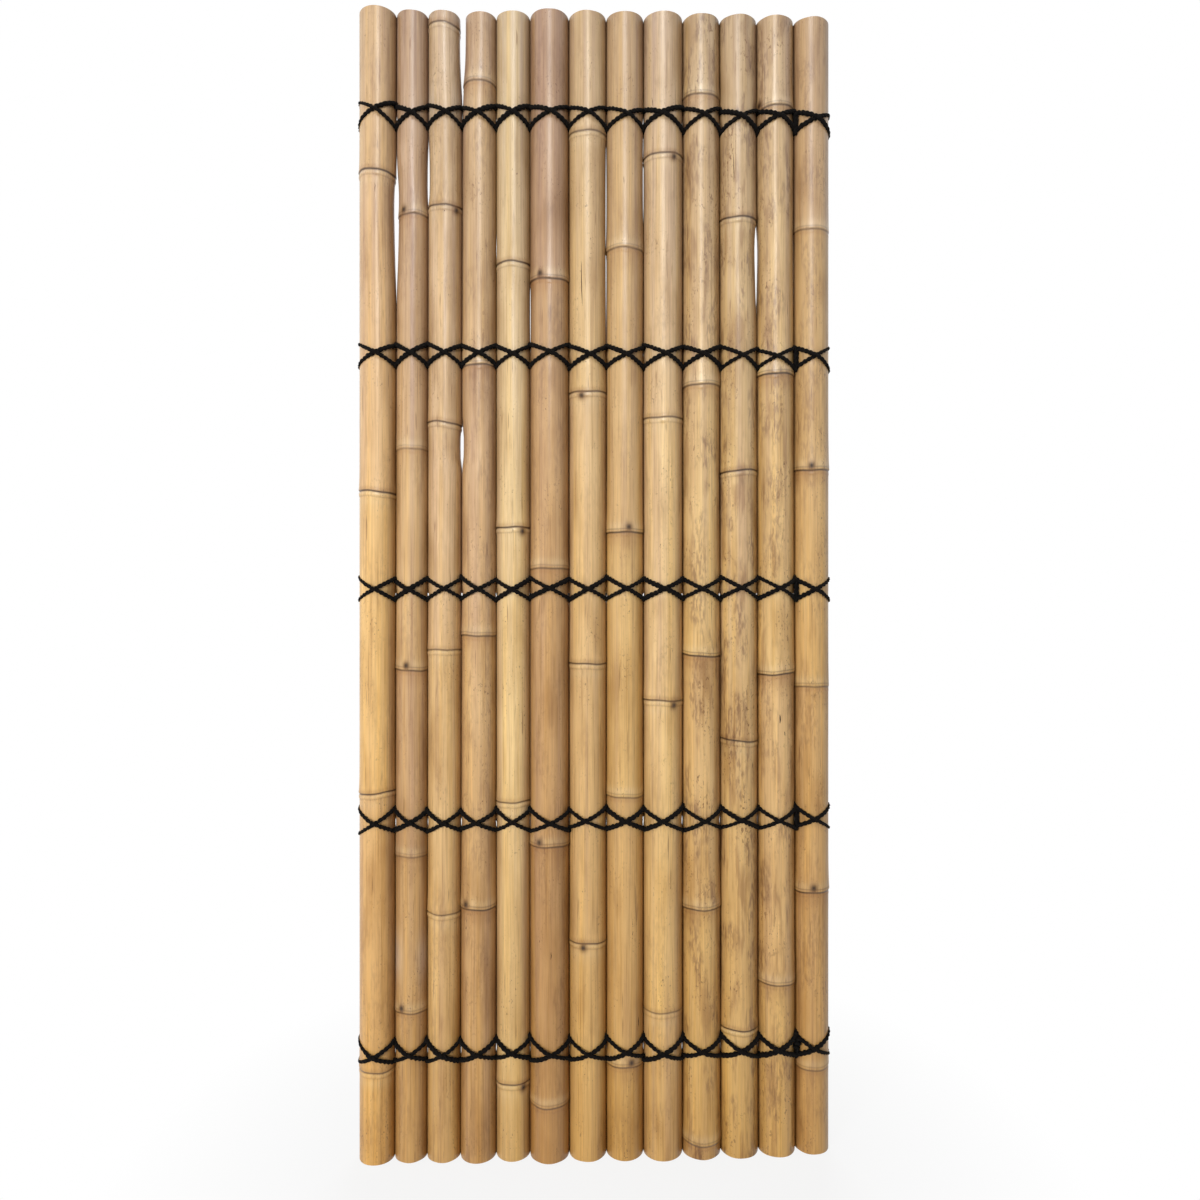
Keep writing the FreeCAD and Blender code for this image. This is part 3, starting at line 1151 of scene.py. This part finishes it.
def cord_route(row, lay, noise):
    """Points and thickness along one cord: over each face, through the gap, round the rail."""
    rise = row.half_rail + ROPE_RADIUS * lay.rise
    enters = row.height - lay.climb * (rise + noise.normal(0, HEIGHT_SPREAD, len(lines) + 1))
    leaves = row.height + lay.climb * (rise + noise.normal(0, HEIGHT_SPREAD, len(lines) + 1))
    front = row.rail_front
    behind = row.rail_back + ROPE_RADIUS * lay.behind
    start = gap_middle(0, row.height)
    route = [
        (start, front, leaves[0], ROPE_RADIUS),
        (start, behind, leaves[0], ROPE_RADIUS),
        (start, behind, enters[0], ROPE_RADIUS),
        (start, front, enters[0], ROPE_RADIUS),
    ]
    for index, line in enumerate(lines):
        enter, leave, next_enter = enters[index], leaves[index + 1], enters[index + 1]
        left, right = gap_middle(index, enter), gap_middle(index + 1, leave)
        middle = line.centre(row.height)[1]
        thin_left = ROPE_RADIUS if line.free_side() < 0 else ROPE_RADIUS_IN_GAP
        thin_right = ROPE_RADIUS if line.free_side() > 0 else ROPE_RADIUS_IN_GAP
        route.append((left, middle, enter, thin_left))
        route += face_points(line, row, lay, enter, leave, noise.uniform(*FULLNESS))
        route += [
            (right, middle, leave, thin_right),
            (right, front, leave, thin_right),
            (right, behind, leave, ROPE_RADIUS),
            (right, behind, next_enter, ROPE_RADIUS),
            (right, front, next_enter, thin_right),
        ]
    return np.array(route)


def tie_route(row):
    """The cord's end in the last gap: brought down and up again, and in the bottom row knotted."""
    last = lines[-1]
    x = gap_middle(len(lines) - 1, row.height)
    y = last.centre(row.height)[1] - last.radius(row.height) * TIE_DEPTH
    knot = []
    if row.number == len(rows):
        for share in np.linspace(0, 1, KNOT_POINTS):
            turn = share * KNOT_TURNS * 2 * math.pi
            forward = KNOT_FORWARD + KNOT_RADIUS * math.cos(turn)
            knot.append((KNOT_RADIUS * math.sin(turn), -forward, KNOT_TOP - KNOT_HEIGHT * share))
    offsets = TIE_DOWN + knot + TIE_UP
    return np.array([(x + dx, y + dy, row.height + dz, TIE_RADIUS) for dx, dy, dz in offsets])


def spline(points):
    """Points read from the NURBS line that has the given points as its control points."""
    curve = bpy.data.curves.new("route", "CURVE")
    curve.dimensions = "3D"
    curve.resolution_u = SPLINE_STEPS
    line = curve.splines.new("NURBS")
    line.points.add(len(points) - 1)
    line.points.foreach_set("co", np.column_stack([points, np.ones(len(points))]).ravel())
    line.order_u = SPLINE_ORDER
    line.use_endpoint_u = True
    holder = bpy.data.objects.new("route", curve)
    mesh = bpy.data.meshes.new_from_object(holder)
    found = np.empty(len(mesh.vertices) * 3)
    mesh.vertices.foreach_get("co", found)
    bpy.data.objects.remove(holder)
    bpy.data.curves.remove(curve)
    bpy.data.meshes.remove(mesh)
    return found.reshape(-1, 3)


def smooth(route):
    """Middle and thickness of a rope, evenly spaced along its route's smooth line, and how far along."""
    middle = spline(route[:, :3])
    thick = spline(np.repeat(route[:, 3:], 3, axis=1))[:, :1]
    path = np.concatenate([middle, thick], axis=1)
    steps = np.linalg.norm(np.diff(middle, axis=0), axis=1)
    along = np.concatenate([[0.0], np.cumsum(steps)])
    even = np.arange(0.0, along[-1], ROPE_STEP)
    path = np.stack([np.interp(even, along, column) for column in path.T], axis=1)
    return path[:, :3], path[:, 3], even


def rope_frames(points):
    """Two directions across the rope at each point, carried along without twist."""
    ahead = np.gradient(points, axis=0)
    ahead /= np.linalg.norm(ahead, axis=1)[:, None]
    across = np.empty_like(points)
    last = np.cross(ahead[0], ODD_DIRECTION)
    for index, direction in enumerate(ahead):
        last = last - direction * last.dot(direction)
        last /= np.linalg.norm(last)
        across[index] = last
    return across, np.cross(ahead, across)


def add_rope(shell, route, noise):
    """Two strands laid round each other along a route, and loose fibres standing off them."""
    centre, thick, along = smooth(route)
    across, other = rope_frames(centre)
    section = np.linspace(0, 2 * math.pi, STRAND_SIDES, endpoint=False)[:, None]
    outward = across[:, None] * np.cos(section) + other[:, None] * np.sin(section)
    faces = grid_faces(len(centre), STRAND_SIDES) + end_faces(len(centre), STRAND_SIDES)
    for start in (0.0, math.pi):
        turn = start + 2 * math.pi * along / ROPE_TWIST
        offset = across * np.cos(turn)[:, None] + other * np.sin(turn)[:, None]
        strand = centre + offset * (thick * STRAND_OFFSET)[:, None]
        spaced = along[::UNEVEN_STEPS]
        uneven = np.interp(along, spaced, noise.standard_normal(len(spaced)))
        girth = thick * STRAND_GIRTH * (1 + STRAND_UNEVEN * uneven)
        shell.add((strand[:, None] + outward * girth[:, None, None]).reshape(-1, 3), faces)
    for index in noise.choice(len(centre) - FIBRE_END_STEPS, len(centre) // FIBRE_EVERY, replace=False):
        if thick[index] < FIBRE_LEAST_RADIUS:
            continue
        turn = noise.uniform(0, 2 * math.pi)
        away = across[index] * math.cos(turn) + other[index] * math.sin(turn)
        root = centre[index] + away * thick[index] * FIBRE_ROOT
        forward = centre[index + FIBRE_STEPS] - centre[index]
        end = root + forward * noise.uniform(*FIBRE_FORWARD) + away * noise.uniform(*FIBRE_AWAY)
        side = np.cross(forward, away)
        side *= FIBRE_HALF_WIDTH / np.linalg.norm(side)
        shell.add([root + side, root - side, root + away * FIBRE_DEPTH, end], FIBRE_FACES)


def build_lashing(row):
    """Both cords of a row, the one on top with its tied end."""
    for order, lay in enumerate(LAYS):
        noise = np.random.default_rng(CORD_SEED + 2 * row.number + order)
        shell = Shell()
        add_rope(shell, cord_route(row, lay, noise), noise)
        if lay.tied:
            add_rope(shell, tie_route(row), noise)
        solid_name = f"lashing_{row.number}_{lay.name}"
        new_piece(f"cord_{row.number}_{lay.name}", shell, solid_name, (cord_fibre,))


# Floor, light and camera


def white_to_the_eye(tree):
    """1 for rays that show the background, 0 for rays that light the panel."""
    path = add_node(tree, "ShaderNodeLightPath").outputs
    seen = path["Is Camera Ray"]
    for kind in ("Is Glossy Ray", "Is Transmission Ray"):
        either = add_node(tree, "ShaderNodeMath", {"operation": "MAXIMUM"}, _0=seen, _1=path[kind])
        seen = either.outputs[0]
    return seen


def build_floor():
    """A pale floor that shows white, with a soft shadow near the panel."""
    mesh = bpy.data.meshes.new("floor")
    level = cad_box[0][2] - FLOOR_DROP
    corners = [(x * FLOOR_REACH, y * FLOOR_REACH, level) for x, y in ((-1, -1), (1, -1), (1, 1), (-1, 1))]
    mesh.from_pydata(corners, [], [(0, 1, 2, 3)])
    material, tree, shader = new_material("floor_white")
    shader.inputs["Base Color"].default_value = (0.6, 0.6, 0.6, 1.0)
    shader.inputs["Roughness"].default_value = 0.9
    glow = add_node(tree, "ShaderNodeEmission", Color=(1.0, 1.0, 1.0, 1.0), Strength=1.0)
    place = add_node(tree, "ShaderNodeTexCoord").outputs["Object"]
    away = add_node(tree, "ShaderNodeVectorMath", {"operation": "LENGTH"}, _0=place).outputs["Value"]
    bare = ramp(tree, away, 0.35, 0.75, 0.86, 1.0)
    white = times(tree, white_to_the_eye(tree), bare)
    blend = add_node(tree, "ShaderNodeMixShader", _0=white, _1=shader.outputs[0], _2=glow.outputs[0])
    tree.links.new(blend.outputs[0], tree.nodes["Material Output"].inputs["Surface"])
    mesh.materials.append(material)
    floor = bpy.data.objects.new("floor", mesh)
    bpy.context.scene.collection.objects.link(floor)


def build_world():
    """Weak soft light from all round, which shows white."""
    world = bpy.data.worlds.new("studio")
    world.use_nodes = True
    tree = world.node_tree
    soft = add_node(tree, "ShaderNodeBackground", Color=(0.95, 0.97, 1.0, 1.0), Strength=0.1).outputs[0]
    white = add_node(tree, "ShaderNodeBackground", Color=(1.0, 1.0, 1.0, 1.0), Strength=1.0).outputs[0]
    blend = add_node(tree, "ShaderNodeMixShader", _0=white_to_the_eye(tree), _1=soft, _2=white)
    tree.links.new(blend.outputs[0], tree.nodes["World Output"].inputs["Surface"])
    bpy.context.scene.world = world


def add_softbox(box):
    lamp = bpy.data.lights.new(box.name, "AREA")
    lamp.shape = "RECTANGLE"
    lamp.size = box.width
    lamp.size_y = box.height
    lamp.energy = box.power
    holder = bpy.data.objects.new(box.name, lamp)
    holder.location = box.place
    x, y, z = np.subtract(box.target, box.place)
    holder.rotation_euler = (math.pi / 2 + math.atan2(z, math.hypot(x, y)), 0.0, math.atan2(-x, y))
    holder.visible_glossy = box.mirrored
    bpy.context.scene.collection.objects.link(holder)


def build_camera():
    lens = bpy.data.cameras.new("camera")
    lens.sensor_fit = "HORIZONTAL"
    lens.sensor_width = SENSOR_MM
    lens.lens = FOCAL_PIXELS / PHOTO_PIXELS * SENSOR_MM
    lens.shift_y = (HORIZON_PIXEL - PHOTO_PIXELS / 2) / PHOTO_PIXELS
    holder = bpy.data.objects.new("camera", lens)
    holder.location = [value * MM for value in CAMERA_PLACE]
    holder.rotation_euler = (math.pi / 2, 0.0, -math.radians(CAMERA_TURN_DEG))
    bpy.context.scene.collection.objects.link(holder)
    bpy.context.scene.camera = holder


for line, culm in zip(lines, CULMS):
    build_culm(line, culm)
for row in rows:
    build_rail(row)
    build_lashing(row)
build_floor()
build_world()
for box in SOFTBOXES:
    add_softbox(box)
build_camera()
bpy.context.scene.view_settings.view_transform = "Standard"
